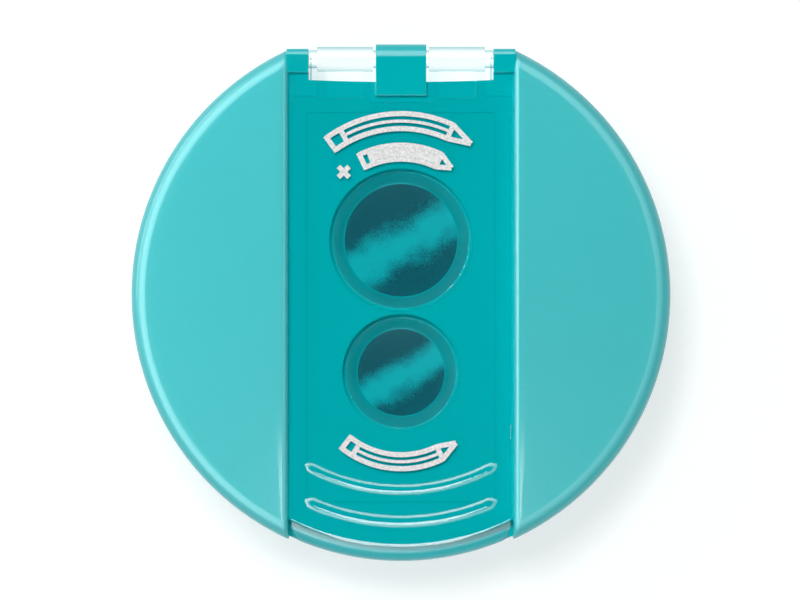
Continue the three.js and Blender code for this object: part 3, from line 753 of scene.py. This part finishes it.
def grip_ridge(outer, inner):
    """A raised ridge with a rounded top, concentric with the casing."""
    middle, half_width = (outer + inner) / 2, (outer - inner) / 2
    reach = math.degrees(math.asin((LID_HALF - 1.35) / middle))
    section = []
    for degrees in range(0, 181, 15):
        a = math.radians(degrees)
        section.append((half_width * math.cos(a), RIDGE_HEIGHT * math.sin(a)))
    section += [(-half_width, -0.3), (half_width, -0.3)]
    stations = []
    count = 48
    for k in range(count + 1):
        turn = -reach + 2 * reach * k / count
        end = min(k, count - k) / 2.0
        size = min(1.0, math.sqrt(max(1 - (1 - min(end, 1)) ** 2, 0.04)))
        angle = math.radians(-90 + turn)
        ring = []
        for across, up in section:
            r = middle + across * size
            ring.append((r * math.cos(angle), r * math.sin(angle), LID_TOP_Z + (up * size if up > 0 else up)))
        stations.append(ring)
    width = len(section)
    vertices = [p for ring in stations for p in ring]
    faces = [list(range(width)), [count * width + k for k in range(width)]]
    for i in range(count):
        for k in range(width):
            m = (k + 1) % width
            faces.append([i * width + k, i * width + m, (i + 1) * width + m, (i + 1) * width + k])
    return new_object("ridge", vertices, faces)


def lid():
    rounding = arc(LIP_OUTER - 1.9, LID_TOP_Z - 1.9, 1.9, 0, 90, 16)
    blank = turned("lid", [(0, LIP_BOTTOM_Z), (LIP_OUTER, LIP_BOTTOM_Z)] + rounding + [(0, LID_TOP_Z)])
    common(blank, lid_plan())
    cut(blank, turned("under", [(0, 0), (LIP_INNER, 0), (LIP_INNER, LID_BOTTOM_Z), (0, LID_BOTTOM_Z)]))
    cut(blank, block("under", -FAR, FAR, -LIP_INNER / 2, FAR, 0, LID_BOTTOM_Z))
    cut(blank, block("notch", -ARM_INNER_X, ARM_INNER_X, KNUCKLE_END_Y - 0.68, FAR, 0, FAR))
    for side in (-1, 1):
        low, high = sorted((side * ARM_INNER_X, side * ARM_OUTER_X))
        join(blank, block("arm", low, high, LID_END_Y - 1, HINGE_Y, LID_BOTTOM_Z, LID_TOP_Z))
        join(blank, rod("barrel", BARREL_RADIUS, low, high, 64))
    join(blank, rod("pin", PIN_RADIUS, -PIN_HALF, PIN_HALF, 48, 0.15))
    for side in (-1, 1):
        low, high = sorted((side * (ARM_INNER_X + 0.95), side * (ARM_OUTER_X - 0.95)))
        cut(blank, block("window", low, high, LID_END_Y - 0.25, HINGE_Y - BARREL_RADIUS, 0, FAR))
    for bore in BORES.values():
        join(blank, cup_body(bore))
        cut(blank, cup_hollow(bore))
    join(blank, grip_ridge(LIP_OUTER - 3.4, LIP_OUTER - 4.7))
    join(blank, grip_ridge(LIP_OUTER - 6.65, LIP_OUTER - 7.8))
    return blank


def cup_floor(bore):
    """The frosted face of a cup's floor."""
    radius = bore["radius"] + CUP_FLOOR_MARGIN
    low = CUP_EDGE_Z - CUP_FLOOR_DIP + 0.02
    profile = [(0, low), (radius, CUP_EDGE_Z + 0.02), (radius, CUP_EDGE_Z + 0.08), (0, low + 0.08)]
    return turned("cup_floor", profile, FINE, 0, bore["y"])


def snap_nub():
    """A small nub on the lid's side that holds it shut."""
    low, high = LID_BOTTOM_Z + 0.3, LID_TOP_Z - 0.3
    return block("lid_snap_nub", LID_HALF - 0.05, LID_HALF + 0.18, -14.5, -13.0, low, high)


# ---------------------------------------------------------------- print on the lid

PRINT_LOW = LID_TOP_Z + 0.005
PRINT_HIGH = LID_TOP_Z + 0.025
PRINT_STEP = 0.0001  # each line lies this much higher for every corner drawn before it
LINE_WIDTH = 0.5


def polar(centre_y, radius, degrees, side):
    """A point around a bore, in degrees clockwise from 12 o'clock above it, or anticlockwise from 6 below."""
    angle = math.radians(side * (90 - degrees))
    return Vector((radius * math.cos(angle), centre_y + radius * math.sin(angle)))


def polar_line(centre_y, start, end, side, steps=1):
    """Points between two (radius, degrees) places."""
    points = []
    for k in range(steps + 1):
        t = k / steps
        radius = start[0] + (end[0] - start[0]) * t
        points.append(polar(centre_y, radius, start[1] + (end[1] - start[1]) * t, side))
    return points


def stroke(points, width, vertices, faces):
    """Adds a printed line along points to a mesh under construction."""
    first = len(vertices)
    count = len(points)
    high = PRINT_HIGH + first * PRINT_STEP
    for k, point in enumerate(points):
        ahead = points[min(k + 1, count - 1)] - points[max(k - 1, 0)]
        across = Vector((-ahead.y, ahead.x)).normalized() * width / 2
        for z in (PRINT_LOW, high):
            vertices.append((point.x + across.x, point.y + across.y, z))
            vertices.append((point.x - across.x, point.y - across.y, z))
    for k in range(count - 1):
        a, b = first + 4 * k, first + 4 * (k + 1)
        faces += [[a, a + 1, b + 1, b], [a + 2, b + 2, b + 3, a + 3]]
        faces += [[a, b, b + 2, a + 2], [a + 1, a + 3, b + 3, b + 1]]
    faces += [[first, first + 2, first + 3, first + 1]]
    last = first + 4 * (count - 1)
    faces += [[last, last + 1, last + 3, last + 2]]


def printed_pencil(name, bore, inner, outer, start, end, side, filled):
    """A pencil drawn in outline, bent around a bore: its body, collar, cone and lead."""
    y = bore["y"]
    middle = (inner + outer) / 2
    tip = end - 0.16 * (end - start)
    cap = start + 0.1 * (end - start)
    vertices, faces = [], []
    stroke(polar_line(y, (inner, start), (inner, tip), side, 24), LINE_WIDTH, vertices, faces)
    stroke(polar_line(y, (outer, start), (outer, tip), side, 24), LINE_WIDTH, vertices, faces)
    for place in (start, cap, tip):
        ends = (inner - 0.21, place), (outer + 0.21, place)
        stroke(polar_line(y, ends[0], ends[1], side), LINE_WIDTH, vertices, faces)
    for radius in (inner, outer):
        stroke(polar_line(y, (radius, tip), (middle, end), side), LINE_WIDTH, vertices, faces)
    lead = tip + 0.6 * (end - tip)
    stroke(polar_line(y, (middle, lead), (middle, end), side), 0.6, vertices, faces)
    width = 0.62 * (outer - inner) if filled else 0.3
    stroke(polar_line(y, (middle, cap), (middle, tip), side, 24), width, vertices, faces)
    return new_object(name, vertices, faces)


def printed_plus(bore, radius, degrees):
    centre = polar(bore["y"], radius, degrees, 1)
    vertices, faces = [], []
    for turn in (45, 135):
        reach = Vector((math.cos(math.radians(turn)), math.sin(math.radians(turn)))) * 0.75
        stroke([centre - reach, centre + reach], LINE_WIDTH, vertices, faces)
    return new_object("print_plus", vertices, faces)


# ---------------------------------------------------------------- insert

SLOT_AZIMUTH = math.radians(30)
BLADE_REACH = 7.0
BLOCK_WALL = 1.4
LEAN_ROOM = 0.5


def bore_sizes(bore):
    top = CUP_BOTTOM_Z - CUP_GAP - FLOOR_TO_CONE
    return {
        "cone_top": top,
        "apex": top - bore["radius"] / math.tan(bore["half_angle"]),
        "floor": top + FLOOR_TO_CONE,
        "mouth": cup_outside(bore, LID_BOTTOM_Z) + 0.3,
    }


def bore_hollow(bore):
    size = bore_sizes(bore)
    profile = [(0, size["apex"]), (bore["radius"], size["cone_top"]), (bore["radius"], size["floor"] - 0.4)]
    profile += [(bore["radius"] + 0.8, size["floor"]), (size["mouth"], size["floor"])]
    profile += [(size["mouth"], DECK_Z - 0.12), (size["mouth"] + 0.09, DECK_Z)]
    profile += [(size["mouth"] + 0.5, DECK_Z + 1)]
    return turned("bore", profile + [(0, DECK_Z + 1)], FINE, 0, bore["y"])


def seat_line(bore, size, z):
    """How far a blade's seat stands from the bore's axis at a height."""
    return math.tan(bore["half_angle"]) * math.cos(SLOT_AZIMUTH) * (z - size["apex"])


def seat_cut(bore):
    """The space outside a blade's seat, from the slot over the blade's width."""
    size = bore_sizes(bore)
    side = bore["side"]
    low, high = -2.0, size["cone_top"]
    outline = [(seat_line(bore, size, low), low), (FAR, low), (FAR, high)]
    outline += [(seat_line(bore, size, high), high)]
    reach = bore["radius"] * math.sin(SLOT_AZIMUTH) + BLADE_REACH
    y0, y1 = sorted((bore["y"] - side * reach, bore["y"] + side * FAR))
    return along_y("seat", [(side * a, b) for a, b in outline], y0, y1)


def leaning_cut(distance, y0, y1, degrees):
    """Leans one outer face of the block inwards towards its foot."""
    top = DECK_UNDER_Z - 1.6
    foot = distance - 0.15 * (top + 2)
    wedge = along_y("lean", [(foot, -2), (FAR, -2), (FAR, top), (distance, top)], y0, y1)
    wedge.data.transform(Matrix.Rotation(math.radians(degrees), 4, "Z"))
    return wedge


def screw_hole(bore):
    """The hole of a blade's screw, taken from where the CAD's screw lies."""
    low, high = box_mm("blade_screw_large" if bore["side"] > 0 else "blade_screw_small")
    middle = (Vector(low) + Vector(high)) / 2
    lean = math.atan(math.tan(bore["half_angle"]) * math.cos(SLOT_AZIMUTH))
    hole = turned("hole", [(0, -4.4), (1.3, -4.4), (1.3, 6), (0, 6)], 32)
    turn = Matrix.Rotation(bore["side"] * (math.pi / 2 + lean), 4, "Y")
    hole.data.transform(Matrix.Translation(middle) @ turn)
    return hole


def insert():
    """The insert: a plate with two mouths, a flange that the hooks hold, and the block with its two cones."""
    flange_top = DECK_UNDER_Z - 0.2
    flange_bottom = flange_top - 1.4
    gap = 0.02
    x, y0, y1 = OPENING_HALF - gap, OPENING_BOTTOM_Y + gap, OPENING_TOP_Y - gap
    thing = block("sharpener_insert", -x, x, y0, y1, flange_bottom, DECK_Z)
    half = OPENING_HALF + 1.3
    flange = block("flange", -half, half, INSERT_LOW[1], INSERT_HIGH[1], flange_bottom, flange_top)
    limit = BAND_RADIUS - WALL - 0.4
    join(thing, common(flange, turned("limit", [(0, 0), (limit, 0), (limit, FAR), (0, FAR)])))
    large, small = BORES["large"], BORES["small"]
    side_large, side_small = large["radius"] + BLOCK_WALL, small["radius"] + BLOCK_WALL
    end_top, end_bottom = large["y"] + side_large, small["y"] - side_small
    foot, top = INSERT_LOW[2], flange_bottom + 0.2
    join(thing, block("block", -side_large, side_large, end_bottom, end_top, foot, top))
    cut(thing, seat_cut(large))
    cut(thing, seat_cut(small))
    seat_end_large = large["y"] - large["radius"] * math.sin(SLOT_AZIMUTH) - BLADE_REACH
    seat_end_small = small["y"] + small["radius"] * math.sin(SLOT_AZIMUTH) + BLADE_REACH
    cut(thing, leaning_cut(side_small, -FAR, seat_end_large + LEAN_ROOM, 0))
    cut(thing, leaning_cut(side_large, -FAR, -seat_end_small + LEAN_ROOM, 180))
    cut(thing, leaning_cut(end_top, -FAR, FAR, 90))
    cut(thing, leaning_cut(-end_bottom, -FAR, FAR, -90))
    for bore in BORES.values():
        cut(thing, bore_hollow(bore))
        cut(thing, screw_hole(bore))
    return thing


# ---------------------------------------------------------------- studio

SENSOR = 36  # millimetres
FRAME_WIDTH = 0.08016  # metres across the picture at the channel's floor


def camera():
    """Looks straight down at the front."""
    data = bpy.data.cameras.new("camera")
    thing = bpy.data.objects.new("camera", data)
    bpy.context.scene.collection.objects.link(thing)
    height = 0.7
    face = DECK_Z * MM
    data.sensor_width = SENSOR
    data.lens = SENSOR * (height - face) / FRAME_WIDTH
    data.clip_start = 0.01
    data.clip_end = 10
    thing.location = (-0.0001, -0.00055, height)
    bpy.context.scene.camera = thing


def floor():
    thing = block("floor", -600, 600, -600, 600, -1.0, -0.02)
    thing.data.transform(Matrix.Scale(MM, 4))
    material = bpy.data.materials.new("floor_white")
    material.use_nodes = True
    shader = material.node_tree.nodes["Principled BSDF"]
    shader.inputs["Base Color"].default_value = (0.5, 0.5, 0.5, 1)
    shader.inputs["Roughness"].default_value = 0.9
    shader.inputs["Specular IOR Level"].default_value = 0.0
    shader.inputs["Emission Color"].default_value = (1, 1, 1, 1)
    shader.inputs["Emission Strength"].default_value = 0.6
    thing.data.materials.append(material)


def softbox(name, azimuth, off_zenith, distance, width, height, watts):
    """A rectangular lamp that faces the object. Azimuth is from +X towards +Y, in degrees."""
    data = bpy.data.lights.new(name, "AREA")
    data.shape = "RECTANGLE"
    data.size = width
    data.size_y = height
    data.energy = watts
    thing = bpy.data.objects.new(name, data)
    bpy.context.scene.collection.objects.link(thing)
    a, t = math.radians(azimuth), math.radians(off_zenith)
    direction = Vector((math.sin(t) * math.cos(a), math.sin(t) * math.sin(a), math.cos(t)))
    thing.location = direction * distance + Vector((0, 0, 0.02))
    thing.rotation_mode = "QUATERNION"
    thing.rotation_quaternion = (-direction).to_track_quat("-Z", "Y")
    return thing


RING_LEVEL = 6.0


def height_ramp(tree, height, stops):
    """Levels of the surround by height. Stops are degrees above the horizon and levels."""
    ramp = tree.nodes.new("ShaderNodeValToRGB")
    elements = ramp.color_ramp.elements
    elements[0].color = (stops[0][1],) * 3 + (1,)
    elements[1].color = (stops[-1][1],) * 3 + (1,)
    for degrees, level in stops[1:]:
        elements.new(math.sin(math.radians(degrees))).color = (level, level, level, 1)
    tree.links.new(height, ramp.inputs["Fac"])
    return ramp.outputs["Color"]


def sky():
    """An even white surround that is dark straight above, where the camera is.

    Polished faces also mirror a bright ring of softboxes half-way up, strongest at the upper left.
    """
    world = bpy.data.worlds.new("studio")
    bpy.context.scene.world = world
    world.use_nodes = True
    tree = world.node_tree
    background = tree.nodes["Background"]
    place = tree.nodes.new("ShaderNodeTexCoord")
    split = tree.nodes.new("ShaderNodeSeparateXYZ")
    tree.links.new(place.outputs["Generated"], split.inputs["Vector"])
    height = split.outputs["Z"]
    even = height_ramp(tree, height, ((0, 0.42), (72, 0.42), (75, 0.0)))
    ring = height_ramp(tree, height, ((0, 0.1), (20, 0.2), (30, 1.0), (62, 1.0), (70, 0.0)))
    leaning = math_node(tree, "MULTIPLY_ADD", split.outputs["X"], -0.8, 1.0)
    leaning = math_node(tree, "MULTIPLY_ADD", split.outputs["Y"], 0.3, leaning)
    ring_level = math_node(tree, "MULTIPLY", math_node(tree, "MULTIPLY", ring, leaning), RING_LEVEL)
    path = tree.nodes.new("ShaderNodeLightPath")
    mirrored = math_node(tree, "MULTIPLY", ring_level, path.outputs["Is Glossy Ray"])
    level = math_node(tree, "ADD", even, mirrored)
    background.inputs["Color"].default_value = (1, 1, 1, 1)
    tree.links.new(level, background.inputs["Strength"])


# ---------------------------------------------------------------- assembly

MATTE = matte_teal()
GLOSS = gloss_teal("gloss_teal_plastic")
CHANNEL = gloss_teal("polished_channel_plastic")
CLEAR = clear_plastic()
PRINT = print_white()
BLADE_STEEL = steel("blade_steel", (0.72, 0.73, 0.75, 1), 0.18)
SCREW_STEEL = steel("screw_steel", (0.66, 0.67, 0.69, 1), 0.25)


def build_shell():
    for side, word in ((-1, "left"), (1, "right")):
        thing = hollow_wing(side)
        thing.name = f"shell_wing_{word}"
        finished(thing, "head", "front_shell", MATTE)
        thing = ear(side)
        thing.name = f"shell_ear_{word}"
        finished(thing, "head", "front_shell", CHANNEL, 0.2)
        for y, end in ((11.5, "top"), (-11.5, "bottom")):
            thing = hook(side, y)
            thing.name = f"shell_hook_{word}_{end}"
            finished(thing, "head", "front_shell", MATTE, 0.08, 2)
    finished(deck(), "head", "front_shell", CHANNEL, 0.03, 2)
    finished(skirt(), "head", "front_shell", CHANNEL, 0.12, 2)
    finished(knuckle(), "head", "front_shell", CHANNEL, 0.25)


build_shell()
finished(tub(), "tub", "rear_tub", MATTE, 0.2, 2)
finished(lid(), "lid", "lid", CLEAR, 0.12, 2)


def build_lid_details():
    for word, bore in BORES.items():
        thing = cup_floor(bore)
        thing.name = f"lid_cup_floor_{word}"
        # the floors' colour holds a painted highlight streak and painted shade
        look = frosted(f"frosted_floor_painted_light_{word}", bore["y"], bore["radius"] + CUP_FLOOR_MARGIN)
        finished(thing, "lid", "lid", look)
    finished(snap_nub(), "lid", "lid", CLEAR, 0.08, 2)
    large, small = BORES["large"], BORES["small"]
    for thing in (
        printed_pencil("print_graphite_above", large, 11.15, 12.65, -36, 36, 1, False),
        printed_pencil("print_colour_above", large, 8.1, 9.5, -26, 35, 1, True),
        printed_plus(large, 8.9, -40),
        printed_pencil("print_graphite_below", small, 8.2, 9.6, -38, 38, -1, False),
    ):
        finished(thing, "lid", "lid", PRINT)


build_lid_details()
finished(insert(), "head", "sharpener_insert", GLOSS)
for name, material in (
    ("blade_large", BLADE_STEEL),
    ("blade_small", BLADE_STEEL),
    ("blade_screw_large", SCREW_STEEL),
    ("blade_screw_small", SCREW_STEEL),
):
    node = frame["nodes"][name]
    node.data.materials.clear()
    node.data.materials.append(material)

camera()
floor()
sky()
softbox("key", 118, 9, 0.6, 0.09, 0.09, 1.8).visible_glossy = False
softbox("left_strip", 155, 84, 0.5, 0.5, 0.03, 0.9)
softbox("front_strip", -90, 19, 0.6, 0.13, 0.18, 0.9).visible_diffuse = False

scene = bpy.context.scene
scene.view_settings.view_transform = "Standard"
scene.view_settings.look = "None"
scene.cycles.transparent_max_bounces = 32  # the lid's cups put many clear faces one behind another
